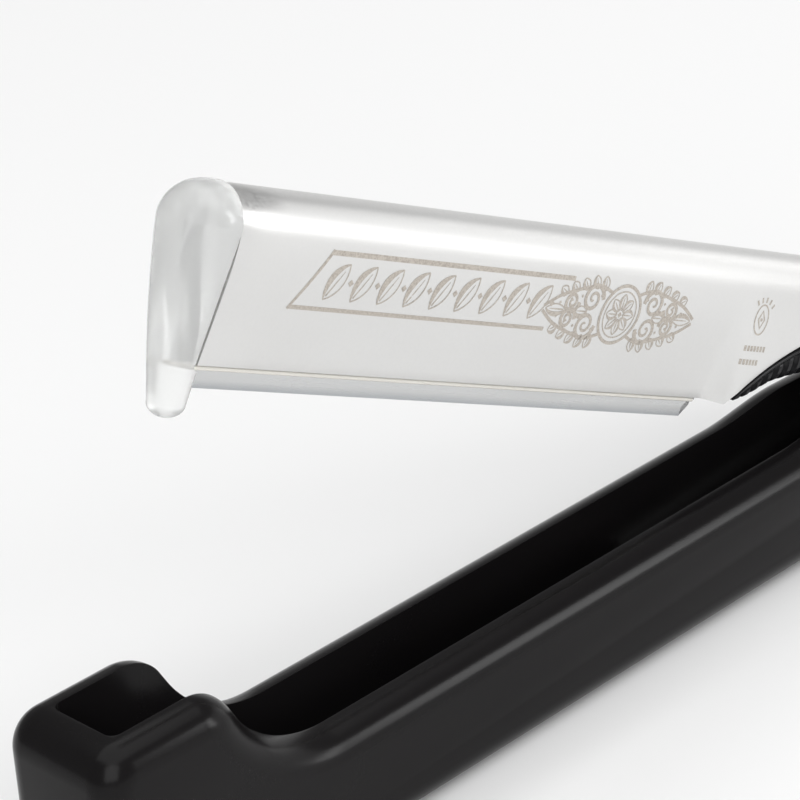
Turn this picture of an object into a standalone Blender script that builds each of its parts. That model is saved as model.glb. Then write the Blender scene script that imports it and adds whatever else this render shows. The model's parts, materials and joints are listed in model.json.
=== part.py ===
"""Straight razor of the kind that takes a disposable blade.

An aluminium sleeve holds a clear plastic insert, and the insert holds the blade. A ribbed plastic
tang joins the sleeve to a trough-shaped plastic handle at one riveted pivot.

Metres, +Z up. The razor stands on the back of its handle, opened a little, with the handle along X
and its pivot end at +X. Drawing functions work in millimetres: a handle point is (x, z) measured
from below the pivot, and a blade point is (u, w), u from the pivot towards the toe along the closed
handle and w from the pivot towards the spine.
"""

import bmesh
import bpy
from math import acos, atan2, cos, degrees, hypot, pi, radians, sin, sqrt
from mathutils import Matrix, Vector

MM = 0.001
GAP = 0.3  # between pieces that touch on the real object

# Handle
PIVOT_HEIGHT = 7.93
OPENED_ANGLE = radians(24.0)  # of the blade above the handle, in the pose that is modelled
HANDLE_WIDTH = 12.6
TROUGH_HALF_WIDTH = 3.5
FLOOR_THICKNESS = 1.8
RIM_HEIGHT = 11.45
CHEEK_RISE = 0.75  # of the rim near the pivot
PIVOT_END_HEIGHT = 11.7
PIVOT_END_X = 7.0
BLOCK_HEIGHT = 20.35
BLOCK_END_X = -109.2
BLOCK_FRONT_X = -98.9
END_WALL_X = -106.0
FLOOR_SLOT_X = -35.0
EDGE_ROUND = 2.75
CORNER_ROUND = 3.2

# Blade side
SLEEVE_BOTTOM = -3.64
SLEEVE_TOP = 9.79
SPINE_RADIUS = 3.15
SLEEVE_SHEET = 0.6
SLEEVE_REAR_U = 9.5
SHOULDER_U = 38.0
BLADE_LENGTH = 62.0
TOE_U = SHOULDER_U + BLADE_LENGTH
WINDOW_HALF_BOTTOM = 1.75
TANG_HALF_BOTTOM = 3.1
FLARE_LENGTH = 4.0
CUT_RADIUS = 32.8
CUT_CREST_U = 13.4
CUT_CREST_W = 4.7

# Tang
CORE_HALF_WIDTH = 2.25
CHEEK_HALF_WIDTH = 3.1
CORE_TOP_W = 8.2
GRIP_FRONT_U = 34.0
RIB_PITCH = 1.35
RIB_COUNT = 14
GROOVE_WIDTH = 0.6
GROOVE_DEPTH = 0.35

# Insert and blade
INSERT_SHEET = 0.5
INSERT_LIP = 0.4
INSERT_REAR_U = SHOULDER_U - 0.8
TIP_RADIUS = 3.3
TIP_REACH = 4.7
NOSE_RADIUS = 1.1
NOSE_BOTTOM_W = -8.1
BLADE_TOP_W = 3.8
BLADE_EDGE_W = SLEEVE_BOTTOM - 2.11
BLADE_HALF_THICKNESS = 0.1
BLADE_REAR_U = 36.6
BLADE_CORNER = 1.1
PEG_RADIUS = 0.9
PEG_PLACES = ((49.0, 0.4), (86.0, 0.4))

# Pivot
PIN_RADIUS = 1.0
PIN_HEAD_RADIUS = 1.9
PIN_HEAD_HEIGHT = 0.8
OUTER_WASHER_RADIUS = 2.7
OUTER_WASHER_THICKNESS = 0.5
INNER_WASHER_RADIUS = 4.0
INNER_WASHER_THICKNESS = 0.6
LOCK_PIN_PLACE = (16.0, 6.4)
LOCK_PIN_RADIUS = 0.8

SPINE_CENTRE_W = SLEEVE_TOP - SPINE_RADIUS


# ---------------------------------------------------------------- outlines

def arc(centre, radius, start, end, steps):
    """Points on a circle, both ends included, with the angles in degrees."""
    points = []
    for step in range(steps + 1):
        angle = radians(start + (end - start) * step / steps)
        points.append((centre[0] + radius * cos(angle), centre[1] + radius * sin(angle)))
    return points


def smooth(points, per_span):
    """A Catmull-Rom curve through the points."""
    ends = [points[0]] + list(points) + [points[-1]]
    curve = []
    for before, a, b, after in zip(ends, ends[1:], ends[2:], ends[3:]):
        for step in range(per_span):
            t = step / per_span
            curve.append(tuple(
                0.5 * (2 * p1 + (p2 - p0) * t + (2 * p0 - 5 * p1 + 4 * p2 - p3) * t ** 2
                       + (3 * p1 - p0 - 3 * p2 + p3) * t ** 3)
                for p0, p1, p2, p3 in zip(before, a, b, after)
            ))
    return curve + [points[-1]]


def ease(t):
    return t * t * (3 - 2 * t)


def handle_outline():
    """The side view of the handle as (x, z), counter-clockwise from its lower tail corner."""
    slope = 60.0
    crest_radius = 4.2
    valley_radius = 11.0
    crest = (BLOCK_FRONT_X, BLOCK_HEIGHT - crest_radius)
    crest_end = (crest[0] + crest_radius * sin(radians(slope)),
                 crest[1] + crest_radius * cos(radians(slope)))
    valley_z = RIM_HEIGHT + valley_radius
    valley_start_z = valley_z - valley_radius * cos(radians(slope))
    run = (crest_end[1] - valley_start_z) / sin(radians(slope)) * cos(radians(slope))
    valley_x = crest_end[0] + run + valley_radius * sin(radians(slope))
    end_radius = PIVOT_END_HEIGHT / 2
    end_centre = (PIVOT_END_X - end_radius, end_radius)
    rise_start, rise_end = -27.0, -17.5

    points = arc((BLOCK_END_X + CORNER_ROUND, CORNER_ROUND), CORNER_ROUND, 180, 270, 5)
    points += arc(end_centre, end_radius, -90, 90, 14)
    for step in range(6, -1, -1):
        t = step / 6
        points.append((rise_start + (rise_end - rise_start) * t, RIM_HEIGHT + CHEEK_RISE * ease(t)))
    points += arc((valley_x, valley_z), valley_radius, 270, 270 - slope, 7)
    points += arc(crest, crest_radius, 90 - slope, 90, 5)
    points += arc((BLOCK_END_X + CORNER_ROUND, BLOCK_HEIGHT - CORNER_ROUND), CORNER_ROUND, 90, 180, 5)
    return points


def cut_w(u):
    """The sleeve's sweeping rear edge, as the height w at u."""
    if u <= CUT_CREST_U:
        return CUT_CREST_W
    return CUT_CREST_W - CUT_RADIUS + sqrt(CUT_RADIUS ** 2 - (u - CUT_CREST_U) ** 2)


UNDERSIDE = smooth([(35.2, -3.5), (32.0, -2.95), (28.0, -1.6), (22.0, -0.5), (15.0, -1.0), (9.0, -3.0)], 5)


def underside_w(u):
    """The height of the grip's underside at u."""
    for a, b in zip(UNDERSIDE, UNDERSIDE[1:]):
        if b[0] <= u <= a[0]:
            return a[1] + (b[1] - a[1]) * (u - a[0]) / (b[0] - a[0])
    return UNDERSIDE[-1][1]


def tang_core_outline():
    """The thin core from inside the sleeve, past the pivot, to the curled tail."""
    front = [(34.0, -2.6), (34.0, CORE_TOP_W)]
    top = [(SLEEVE_REAR_U + 1.5, CORE_TOP_W)]
    tail_top = smooth([(7.0, 8.1), (2.5, 6.0), (-2.5, 4.1), (-8.0, 3.0), (-14.0, 2.8), (-19.0, 4.6),
                       (-23.4, 8.0), (-26.6, 12.2)], 3)
    tail_end = arc((-27.9, 11.5), 1.5, 28, 208, 6)
    tail_under = smooth([(-27.3, 7.2), (-23.5, 3.4), (-19.0, 0.3), (-13.5, -1.8), (-7.0, -3.3)], 3)
    boss = arc((0, 0), 4.7, 228, 300, 5)
    under = [(9.0, -2.4), (15.0, -0.5), (22.0, 0.0), (28.0, -1.1)]
    return front + top + tail_top + tail_end + tail_under + boss + under


def tang_cheek_outline():
    """The full-width grip under the sleeve's rear edge, and the collar behind the sleeve."""
    u_values = [GRIP_FRONT_U - (GRIP_FRONT_U - CUT_CREST_U) * step / 12 for step in range(13)]
    front = [(u, cut_w(u) - GAP) for u in u_values]
    collar_u = SLEEVE_REAR_U - GAP
    collar = [(collar_u, CUT_CREST_W - GAP), (collar_u, 9.5)]
    rear_top = (6.4, 8.3)
    start = degrees(atan2(5.9, 4.2))
    rear = arc((0, 0), hypot(4.2, 5.9), start, -18, 6)
    under = [point for point in reversed(UNDERSIDE[:-1]) if point[0] < GRIP_FRONT_U - 0.2]
    return front + collar + [rear_top] + rear + under + [(GRIP_FRONT_U, underside_w(GRIP_FRONT_U))]


# ---------------------------------------------------------------- meshes

def material(name, colour, metallic, roughness, alpha=1.0):
    made = bpy.data.materials.new(name)
    made.use_nodes = True
    shader = made.node_tree.nodes["Principled BSDF"]
    shader.inputs["Base Color"].default_value = (*colour, 1.0)
    shader.inputs["Metallic"].default_value = metallic
    shader.inputs["Roughness"].default_value = roughness
    shader.inputs["Alpha"].default_value = alpha
    made.diffuse_color = (*colour, alpha)
    return made


def new_object(name, mesh_data, look=None):
    obj = bpy.data.objects.new(name, mesh_data)
    bpy.context.scene.collection.objects.link(obj)
    if look:
        obj.data.materials.append(look)
    return obj


def to_mesh(name, shape):
    bmesh.ops.remove_doubles(shape, verts=shape.verts, dist=1e-7)
    bmesh.ops.recalc_face_normals(shape, faces=shape.faces)
    mesh = bpy.data.meshes.new(name)
    shape.to_mesh(mesh)
    shape.free()
    mesh.shade_smooth()
    mesh.set_sharp_from_angle(angle=radians(32))
    return mesh


def add_prism(shape, outline, low, high):
    """Extrudes an outline of (across, up) points along Y, from low to high."""
    rings = []
    for y in (low, high):
        rings.append([shape.verts.new((x * MM, y * MM, z * MM)) for x, z in outline])
    shape.faces.new(rings[0])
    shape.faces.new(list(reversed(rings[1])))
    count = len(outline)
    for i in range(count):
        j = (i + 1) % count
        shape.faces.new((rings[0][i], rings[1][i], rings[1][j], rings[0][j]))


def prism(name, outline, half_width):
    shape = bmesh.new()
    add_prism(shape, outline, -half_width, half_width)
    return to_mesh(name, shape)


def add_loft(shape, sections):
    """Joins closed sections that have the same number of points, and caps both ends."""
    rings = [[shape.verts.new(Vector(point) * MM) for point in section] for section in sections]
    count = len(rings[0])
    for near, far in zip(rings, rings[1:]):
        for i in range(count):
            j = (i + 1) % count
            shape.faces.new((near[i], near[j], far[j], far[i]))
    shape.faces.new(list(reversed(rings[0])))
    shape.faces.new(rings[-1])


def add_turning(shape, profile, segments, hollow):
    """Turns (radius, y) points about the Y axis; a hollow profile closes on itself."""
    rings = []
    for radius, y in profile:
        ring = []
        for segment in range(segments):
            angle = 2 * pi * segment / segments
            ring.append(shape.verts.new((radius * cos(angle) * MM, y * MM, radius * sin(angle) * MM)))
        rings.append(ring)
    pairs = list(zip(rings, rings[1:]))
    if hollow:
        pairs.append((rings[-1], rings[0]))
    for near, far in pairs:
        for i in range(segments):
            j = (i + 1) % segments
            shape.faces.new((near[i], near[j], far[j], far[i]))
    if not hollow:
        shape.faces.new(list(reversed(rings[0])))
        shape.faces.new(rings[-1])


def turning(name, profile, segments=24, hollow=False):
    shape = bmesh.new()
    add_turning(shape, profile, segments, hollow)
    return to_mesh(name, shape)


def bevel(obj, width, segments, angle=50):
    modifier = obj.modifiers.new("round edges", "BEVEL")
    modifier.width = width * MM
    modifier.segments = segments
    modifier.limit_method = "ANGLE"
    modifier.angle_limit = radians(angle)
    modifier.use_clamp_overlap = False


def combine(obj, other, operation):
    """Joins another mesh object to this one, or cuts with it, and hides the other."""
    other.hide_render = True
    other.display_type = "WIRE"
    modifier = obj.modifiers.new(other.name, "BOOLEAN")
    modifier.operation = operation
    modifier.object = other


def cylinder_across(name, place, radius, half_length, segments=24):
    mesh = turning(name, [(radius, -half_length), (radius, half_length)], segments)
    mesh.transform(Matrix.Translation((place[0] * MM, 0, place[1] * MM)))
    return new_object(name, mesh)


# ---------------------------------------------------------------- blade-side sections

def hairpin(u, radius, centre_w, half_bottom, bottom_w, sheet, steps=10):
    """A folded sheet's section at u: round over the spine, and straight down to both lower edges."""
    offset = Vector((half_bottom, bottom_w - centre_w))
    lean = acos(radius / offset.length) - atan2(-offset.y, offset.x)
    outer, inner = [], []
    inner_radius = radius - sheet
    inner_half = half_bottom - sheet / cos(lean)
    outer.append((half_bottom, bottom_w))
    inner.append((inner_half, bottom_w))
    for step in range(steps + 1):
        angle = lean + (pi - 2 * lean) * step / steps
        outer.append((radius * cos(angle), centre_w + radius * sin(angle)))
        inner.append((inner_radius * cos(angle), centre_w + inner_radius * sin(angle)))
    outer.append((-half_bottom, bottom_w))
    inner.append((-inner_half, bottom_w))
    return [(u, y, w) for y, w in outer + list(reversed(inner))]


def sleeve_section(u):
    flare = ease(min(max((SHOULDER_U - u) / FLARE_LENGTH, 0.0), 1.0))
    half_bottom = WINDOW_HALF_BOTTOM + (TANG_HALF_BOTTOM - WINDOW_HALF_BOTTOM) * flare
    bottom_w = SLEEVE_BOTTOM - 0.25 * flare
    return hairpin(u, SPINE_RADIUS, SPINE_CENTRE_W, half_bottom, bottom_w, SLEEVE_SHEET, 12)


def tip_section(w):
    """The clear tip's outline at height w, as (u, y, w) points."""
    wide_w = SPINE_CENTRE_W
    nose_w = NOSE_BOTTOM_W + NOSE_RADIUS
    if w >= wide_w:
        half = sqrt(max(TIP_RADIUS ** 2 - (w - wide_w) ** 2, 0.0))
        front = TOE_U + 0.6 + (TIP_REACH - 0.6) * (half / TIP_RADIUS) ** 0.8
    else:
        down = (wide_w - w) / (wide_w - nose_w)
        half = TIP_RADIUS + (NOSE_RADIUS - TIP_RADIUS) * min(down, 1.0)
        front = TOE_U + TIP_REACH - 2.4 * min(down, 1.0) ** 1.5
    rear = corner = TOE_U + GAP
    if w < nose_w:
        shrink = sqrt(max(NOSE_RADIUS ** 2 - (nose_w - w) ** 2, 0.0)) / NOSE_RADIUS
        half *= shrink
        middle = TOE_U + 0.6
        front = middle + (front - middle) * shrink
        rear = middle - 1.7 * shrink
        corner = middle - 0.6 * shrink
    elif w < SLEEVE_BOTTOM - INSERT_LIP:
        rear, corner = TOE_U - 1.1, TOE_U
    reach = min(0.85 * (front - corner), 1.3 * half)
    section = [(rear, half * 0.4, w), (corner, half, w)]
    for step in range(9):
        angle = pi / 2 - pi * step / 8
        section.append((front - reach + reach * cos(angle), half * sin(angle), w))
    section += [(corner, -half, w), (rear, -half * 0.4, w)]
    return section


# ---------------------------------------------------------------- pieces

def place(obj, parent):
    """Blade and handle drawings run from the pivot; only their parent empty says where that is."""
    obj.parent = parent
    return obj


def flip(mesh):
    """Turns (u, y, w) into the parent's axes, where u points to -X."""
    mesh.transform(Matrix.Scale(-1, 4, (1, 0, 0)))
    mesh.flip_normals()
    return mesh


def build_handle(look):
    body = new_object("handle", prism("handle", handle_outline(), HANDLE_WIDTH / 2), look)
    bevel(body, EDGE_ROUND, 5)
    trough = [(END_WALL_X, BLOCK_HEIGHT + 5), (END_WALL_X, FLOOR_THICKNESS),
              (FLOOR_SLOT_X, FLOOR_THICKNESS), (FLOOR_SLOT_X, -2), (PIVOT_END_X + 5, -2),
              (PIVOT_END_X + 5, BLOCK_HEIGHT + 5)]
    hollow = new_object("trough_cutter", prism("trough_cutter", trough, TROUGH_HALF_WIDTH))
    combine(body, hollow, "DIFFERENCE")
    hole = cylinder_across("handle_hole_cutter", (0, PIVOT_HEIGHT), PIN_RADIUS + GAP, HANDLE_WIDTH)
    combine(body, hole, "DIFFERENCE")
    return [body, hollow, hole]


def build_pivot(steel, brass):
    outside = HANDLE_WIDTH / 2 + GAP
    head_base = outside + OUTER_WASHER_THICKNESS + GAP
    head = [(PIN_HEAD_RADIUS * cos(radians(a)), head_base + PIN_HEAD_HEIGHT * sin(radians(a)))
            for a in (0, 25, 50, 72)]
    profile = [(r, -y) for r, y in reversed(head)] + [(PIN_RADIUS, -head_base), (PIN_RADIUS, head_base)]
    pieces = [new_object("pivot_pin", turning("pivot_pin", profile + head), steel)]
    inside = TROUGH_HALF_WIDTH - GAP
    for side, name in ((-1, "near"), (1, "far")):
        ring = [(PIN_RADIUS + GAP, outside), (OUTER_WASHER_RADIUS, outside),
                (OUTER_WASHER_RADIUS - 0.25, outside + OUTER_WASHER_THICKNESS),
                (PIN_RADIUS + GAP, outside + OUTER_WASHER_THICKNESS)]
        outer = turning("outer_washer_" + name, [(r, side * y) for r, y in ring], 24, True)
        pieces.append(new_object("outer_washer_" + name, outer, brass))
        ring = [(PIN_RADIUS + GAP, inside - INNER_WASHER_THICKNESS),
                (INNER_WASHER_RADIUS, inside - INNER_WASHER_THICKNESS),
                (INNER_WASHER_RADIUS, inside), (PIN_RADIUS + GAP, inside)]
        inner = turning("inner_washer_" + name, [(r, side * y) for r, y in ring], 24, True)
        pieces.append(new_object("inner_washer_" + name, inner, brass))
    for piece in pieces:
        piece.location.z = PIVOT_HEIGHT * MM
    return pieces


def build_sleeve(look):
    stations = [SLEEVE_REAR_U, 20.0] + [SHOULDER_U - FLARE_LENGTH * (1 - s / 5) for s in range(6)]
    stations.append(TOE_U)
    shape = bmesh.new()
    add_loft(shape, [sleeve_section(u) for u in stations])
    sleeve = new_object("blade_sleeve", flip(to_mesh("blade_sleeve", shape)), look)
    edge = [(u, cut_w(u)) for u in [SLEEVE_REAR_U - 3, CUT_CREST_U]]
    edge += [(u, cut_w(u)) for u in [CUT_CREST_U + 1.7 * s for s in range(1, 14)]]
    edge += [(36.0, -7.0), (SLEEVE_REAR_U - 3, -7.0)]
    cutter = new_object("sleeve_rear_cutter", flip(prism("sleeve_rear_cutter", edge, 8)))
    combine(sleeve, cutter, "DIFFERENCE")
    hole = new_object("sleeve_hole_cutter", lock_pin_hole("sleeve_hole_cutter"))
    combine(sleeve, hole, "DIFFERENCE")
    return [sleeve, cutter, hole]


def lock_pin_hole(name):
    mesh = turning(name, [(LOCK_PIN_RADIUS + GAP, -6), (LOCK_PIN_RADIUS + GAP, 6)], 20)
    mesh.transform(Matrix.Translation((LOCK_PIN_PLACE[0] * MM, 0, LOCK_PIN_PLACE[1] * MM)))
    return flip(mesh)


def groove_cutters(name):
    """U-shaped slots that run up both flanks of the grip and across its underside."""
    shape = bmesh.new()
    core = CHEEK_HALF_WIDTH - GROOVE_DEPTH
    for rib in range(RIB_COUNT):
        u = GRIP_FRONT_U - 0.9 - RIB_PITCH * rib
        low = underside_w(u)
        high = cut_w(u) - GAP - 0.8
        if high - low < 0.6:
            high = low + GROOVE_DEPTH + 0.1
        wall = [(4.0, low - 2), (4.0, high), (core, high), (core, low + GROOVE_DEPTH)]
        outline = wall + [(-y, w) for y, w in reversed(wall)]
        add_loft(shape, [[(u + du, y, w) for y, w in outline] for du in (0, -GROOVE_WIDTH)])
    return flip(to_mesh(name, shape))


def build_tang(look):
    tang = new_object("tang", flip(prism("tang", tang_core_outline(), CORE_HALF_WIDTH)), look)
    bevel(tang, 0.7, 2, 60)
    cheeks = new_object("tang_cheeks", flip(prism("tang_cheeks", tang_cheek_outline(), CHEEK_HALF_WIDTH)))
    combine(tang, cheeks, "UNION")
    grooves = new_object("groove_cutter", groove_cutters("groove_cutter"))
    combine(tang, grooves, "DIFFERENCE")
    hole = cylinder_across("tang_hole_cutter", (0, 0), PIN_RADIUS + GAP, HANDLE_WIDTH)
    combine(tang, hole, "DIFFERENCE")
    pin_hole = new_object("tang_lock_pin_cutter", lock_pin_hole("tang_lock_pin_cutter"))
    combine(tang, pin_hole, "DIFFERENCE")
    return [tang, cheeks, grooves, hole, pin_hole]


def build_lock_pin(look):
    half = SPINE_RADIUS - 0.05
    mesh = turning("lock_pin", [(LOCK_PIN_RADIUS, -half), (LOCK_PIN_RADIUS, half)], 20)
    mesh.transform(Matrix.Translation((LOCK_PIN_PLACE[0] * MM, 0, LOCK_PIN_PLACE[1] * MM)))
    return [new_object("lock_pin", flip(mesh), look)]


def build_insert(look):
    """Two leaves joined over the top, two pegs for the blade, and the rounded safety tip."""
    radius = SPINE_RADIUS - SLEEVE_SHEET - GAP
    half_bottom = WINDOW_HALF_BOTTOM - SLEEVE_SHEET - GAP
    shape = bmesh.new()
    ends = (INSERT_REAR_U, TOE_U + 1.0)
    add_loft(shape, [hairpin(u, radius, SPINE_CENTRE_W, half_bottom, SLEEVE_BOTTOM - INSERT_LIP,
                             INSERT_SHEET) for u in ends])
    insert = new_object("blade_insert", flip(to_mesh("blade_insert", shape)), look)

    shape = bmesh.new()
    heights = [SPINE_CENTRE_W + TIP_RADIUS * sin(radians(a)) for a in (80, 65, 50, 35, 18, 0)]
    heights += [3.5, 0.0, SLEEVE_BOTTOM - INSERT_LIP + 0.01, SLEEVE_BOTTOM - INSERT_LIP - 0.01, -5.6]
    heights += [NOSE_BOTTOM_W + NOSE_RADIUS * (1 - sin(radians(a))) for a in (0, 25, 50, 75)]
    add_loft(shape, [tip_section(w) for w in heights])
    tip = new_object("tip_body", flip(to_mesh("tip_body", shape)))
    combine(insert, tip, "UNION")

    shape = bmesh.new()
    for u, w in PEG_PLACES:
        peg = bmesh.ops.create_cone(shape, cap_ends=True, segments=16, radius1=PEG_RADIUS * MM,
                                    radius2=PEG_RADIUS * MM, depth=2.0 * MM)
        turn = Matrix.Translation((u * MM, 0, w * MM)) @ Matrix.Rotation(pi / 2, 4, "X")
        bmesh.ops.transform(shape, matrix=turn, verts=peg["verts"])
    pegs = new_object("insert_pegs", flip(to_mesh("insert_pegs", shape)))
    combine(insert, pegs, "UNION")
    return [insert, tip, pegs]


def build_blade(look):
    rear, toe = BLADE_REAR_U, BLADE_REAR_U + BLADE_LENGTH
    outline = [(rear + BLADE_CORNER, BLADE_EDGE_W), (toe, BLADE_EDGE_W), (toe, BLADE_TOP_W),
               (rear, BLADE_TOP_W), (rear, BLADE_EDGE_W + BLADE_CORNER)]
    blade = new_object("razor_blade", flip(prism("razor_blade", outline, BLADE_HALF_THICKNESS)), look)
    shape = bmesh.new()
    for u, w in PEG_PLACES:
        hole = bmesh.ops.create_cone(shape, cap_ends=True, segments=20, radius1=(PEG_RADIUS + GAP) * MM,
                                     radius2=(PEG_RADIUS + GAP) * MM, depth=4 * MM)
        turn = Matrix.Translation((u * MM, 0, w * MM)) @ Matrix.Rotation(pi / 2, 4, "X")
        bmesh.ops.transform(shape, matrix=turn, verts=hole["verts"])
    holes = new_object("blade_hole_cutter", flip(to_mesh("blade_hole_cutter", shape)))
    combine(blade, holes, "DIFFERENCE")
    return [blade, holes]


def centre_on_origin(root):
    """Moves the root so that the razor's box is centred over the origin, with its base at z = 0."""
    bpy.context.view_layer.update()
    graph = bpy.context.evaluated_depsgraph_get()
    across = []
    for obj in bpy.context.scene.objects:
        if obj.type == "MESH" and not obj.hide_render:
            shown = obj.evaluated_get(graph)
            across += [(shown.matrix_world @ vertex.co).x for vertex in shown.data.vertices]
    root.location.x = -(min(across) + max(across)) / 2


def main():
    for obj in list(bpy.data.objects):
        bpy.data.objects.remove(obj)

    black = material("black_moulded_plastic", (0.012, 0.012, 0.013), 0.0, 0.38)
    tang_black = material("black_tang_plastic", (0.010, 0.010, 0.011), 0.0, 0.32)
    aluminium = material("satin_aluminium", (0.80, 0.80, 0.80), 1.0, 0.32)
    clear = material("clear_plastic", (0.93, 0.95, 0.95), 0.0, 0.08, 0.35)
    blade_steel = material("blade_steel", (0.66, 0.69, 0.72), 1.0, 0.22)
    pin_steel = material("pin_steel", (0.62, 0.62, 0.63), 1.0, 0.28)
    washer_brass = material("nickelled_brass", (0.72, 0.70, 0.66), 1.0, 0.30)

    root = bpy.data.objects.new("razor", None)
    bpy.context.scene.collection.objects.link(root)
    pivot = bpy.data.objects.new("pivot_axis", None)
    bpy.context.scene.collection.objects.link(pivot)
    pivot.parent = root
    pivot.location.z = PIVOT_HEIGHT * MM
    pivot.rotation_euler.y = OPENED_ANGLE

    for obj in build_handle(black) + build_pivot(pin_steel, washer_brass):
        place(obj, root)
    blade_side = build_sleeve(aluminium) + build_tang(tang_black) + build_lock_pin(pin_steel)
    for obj in blade_side + build_insert(clear) + build_blade(blade_steel):
        place(obj, pivot)
    centre_on_origin(root)


main()
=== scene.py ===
import json
from math import cos, hypot, pi, radians, sin, sqrt

import bmesh
import bpy
from mathutils import Matrix, Vector


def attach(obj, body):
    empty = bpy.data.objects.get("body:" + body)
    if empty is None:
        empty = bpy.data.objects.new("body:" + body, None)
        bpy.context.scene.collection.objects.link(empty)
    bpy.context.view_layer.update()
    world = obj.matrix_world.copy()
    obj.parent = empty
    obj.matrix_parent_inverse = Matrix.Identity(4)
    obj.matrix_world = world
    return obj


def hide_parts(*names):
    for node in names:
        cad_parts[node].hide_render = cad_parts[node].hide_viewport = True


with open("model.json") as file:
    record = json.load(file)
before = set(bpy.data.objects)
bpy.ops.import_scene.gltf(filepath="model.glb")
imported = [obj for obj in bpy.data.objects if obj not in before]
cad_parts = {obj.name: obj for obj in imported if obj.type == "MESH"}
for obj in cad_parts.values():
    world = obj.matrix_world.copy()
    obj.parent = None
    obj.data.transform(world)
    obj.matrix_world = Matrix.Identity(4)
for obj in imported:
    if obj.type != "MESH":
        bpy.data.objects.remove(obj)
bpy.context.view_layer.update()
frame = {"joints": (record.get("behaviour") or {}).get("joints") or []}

MM = 0.001
GAP = 0.3  # between pieces that touch on the real razor

# Drawing frames, in millimetres. The handle is drawn as (x, y, z) from the point below the pivot. The blade
# side is drawn as (u, v, w) from the pivot: u towards the toe, v towards the near side, w towards the spine.
JOINTS = {joint["name"]: joint for joint in frame["joints"]}
PIVOT = Vector(JOINTS["blade_open"]["pos_m"])
TOE_WAY = Vector(JOINTS["insert_slide"]["axis"]).normalized()
NEAR_WAY = Vector((0, -1, 0))
SPINE_WAY = TOE_WAY.cross(NEAR_WAY)
HANDLE_FRAME = Matrix.Translation((PIVOT.x, 0, 0))
BLADE_FRAME = Matrix.Translation(PIVOT) @ Matrix((TOE_WAY, NEAR_WAY, SPINE_WAY)).transposed().to_4x4()
PIVOT_FRAME = Matrix.Translation(PIVOT)

# Handle sizes
HANDLE_HALF = 6.3
TROUGH_HALF = 3.5
FLOOR = 1.8
RIM = 11.45
CHEEK_RISE = 0.75
PIVOT_END_HEIGHT = 11.7
PIVOT_END_X = 7.0
BLOCK_TOP = 20.35
BLOCK_END_X = -109.2
BLOCK_FRONT_X = -98.9
END_WALL_X = -106.0
SLOT_X = -35.0
CORNER_ROUND = 3.2
EDGE_ROUND = 2.6
PIVOT_HOLE = 1.3

# Blade-side sizes
SLEEVE_BOTTOM = -3.64
SLEEVE_TOP = 9.79
SPINE_RADIUS = 3.15
SHEET = 0.6
SLEEVE_REAR_U = 9.5
SHOULDER_U = 38.0
TOE_U = 100.0
WINDOW_HALF = 1.75
TANG_HALF = 3.1
FLARE = 4.0
FLARE_DROP = 0.25
CUT_RADIUS = 32.8
CUT_CREST = (13.4, 4.7)
CUT_FRONT_U = 35.3
REAR_ROUND = 1.4
FLANK_ROUND = 4.0
SPINE_CENTRE = SLEEVE_TOP - SPINE_RADIUS
LOCK_PIN_PLACE = (16.0, 0, 6.4)
INSERT_LOW = SLEEVE_BOTTOM - 0.4
EDGE_W = SLEEVE_BOTTOM - 2.11


def ease(t):
    """Goes smoothly from 0 to 1 as t does, and stays level outside."""
    t = min(max(t, 0.0), 1.0)
    return t * t * (3 - 2 * t)


# ---------------------------------------------------------------- node helpers

def new_material(name, colour, metallic, roughness, **more):
    """A material with one Principled shader; returns it with its nodes, links and shader."""
    made = bpy.data.materials.new(name)
    made.use_nodes = True
    nodes, links = made.node_tree.nodes, made.node_tree.links
    shader = nodes["Principled BSDF"]
    shader.inputs["Base Color"].default_value = (*colour, 1.0)
    shader.inputs["Metallic"].default_value = metallic
    shader.inputs["Roughness"].default_value = roughness
    for socket, value in more.items():
        shader.inputs[socket.replace("_", " ")].default_value = value
    return made, nodes, links, shader


def drawing_place(nodes, links):
    """The shaded point in the blade side's drawing frame, (u, v, w), but in metres."""
    place = nodes.new("ShaderNodeTexCoord")
    turned = nodes.new("ShaderNodeMapping")
    turned.vector_type = "TEXTURE"
    turned.inputs["Location"].default_value = PIVOT
    turned.inputs["Rotation"].default_value = BLADE_FRAME.to_euler()
    links.new(place.outputs["Object"], turned.inputs["Vector"])
    return turned.outputs["Vector"]


def noise(nodes, links, scale, detail=3.0, stretch=(1, 1, 1)):
    """Noise with so many cells to the metre, times the stretch along (u, v, w); returns its value socket."""
    mapping = nodes.new("ShaderNodeMapping")
    mapping.inputs["Scale"].default_value = stretch
    texture = nodes.new("ShaderNodeTexNoise")
    texture.inputs["Scale"].default_value = scale
    texture.inputs["Detail"].default_value = detail
    links.new(drawing_place(nodes, links), mapping.inputs["Vector"])
    links.new(mapping.outputs["Vector"], texture.inputs["Vector"])
    return texture.outputs["Fac"]


def spread(nodes, links, value, low, high, start=0.3, end=0.7):
    """Maps a noise value to a range."""
    node = nodes.new("ShaderNodeMapRange")
    node.inputs["From Min"].default_value = start
    node.inputs["From Max"].default_value = end
    node.inputs["To Min"].default_value = low
    node.inputs["To Max"].default_value = high
    links.new(value, node.inputs["Value"])
    return node.outputs["Result"]


def two_colours(nodes, links, value, first, second):
    """The first colour where the value is 0, the second where it is 1."""
    mix = nodes.new("ShaderNodeMix")
    mix.data_type = "RGBA"
    mix.inputs["A"].default_value = (*first, 1)
    mix.inputs["B"].default_value = (*second, 1)
    links.new(value, mix.inputs["Factor"])
    return mix.outputs["Result"]


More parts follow.
